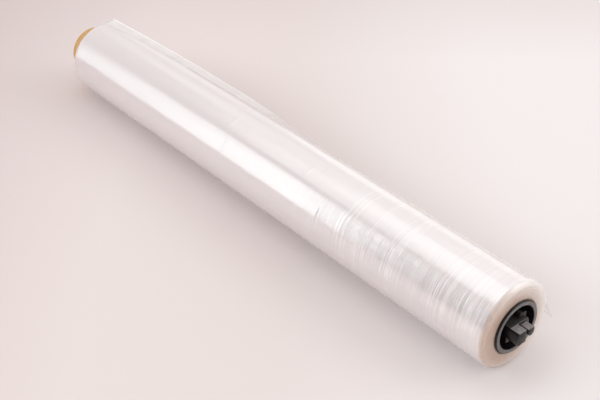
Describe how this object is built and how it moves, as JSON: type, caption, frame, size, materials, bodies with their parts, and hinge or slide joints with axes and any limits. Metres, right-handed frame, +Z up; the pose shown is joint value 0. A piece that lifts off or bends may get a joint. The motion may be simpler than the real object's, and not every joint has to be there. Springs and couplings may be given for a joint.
{
  "type": "cling film roll",
  "caption": "Wide roll of clear cling film wound on a cardboard core that stands out at one end, with a black moulded drive plug in the other end and a loose slanting tail of film.",
  "frame": {"origin": "middle of the flat spot under the roll, halfway along the film's width, on the surface it rests on", "axes": "+X along the roll's axis towards the drive plug, +Y towards the side where the loose film hangs, +Z up"},
  "size_m": [0.477, 0.0683, 0.0607],
  "materials": {
    "film": "clear film in many turns, silvery white and glossy, with a creamy cut end",
    "cardboard": "wound brown kraft board, matt",
    "plug_plastic": "black moulded plastic, satin"
  },
  "bodies": {
    "root": {"film_roll": "film", "core_tube": "cardboard", "drive_plug": "plug_plastic"}
  },
  "joints": []
}
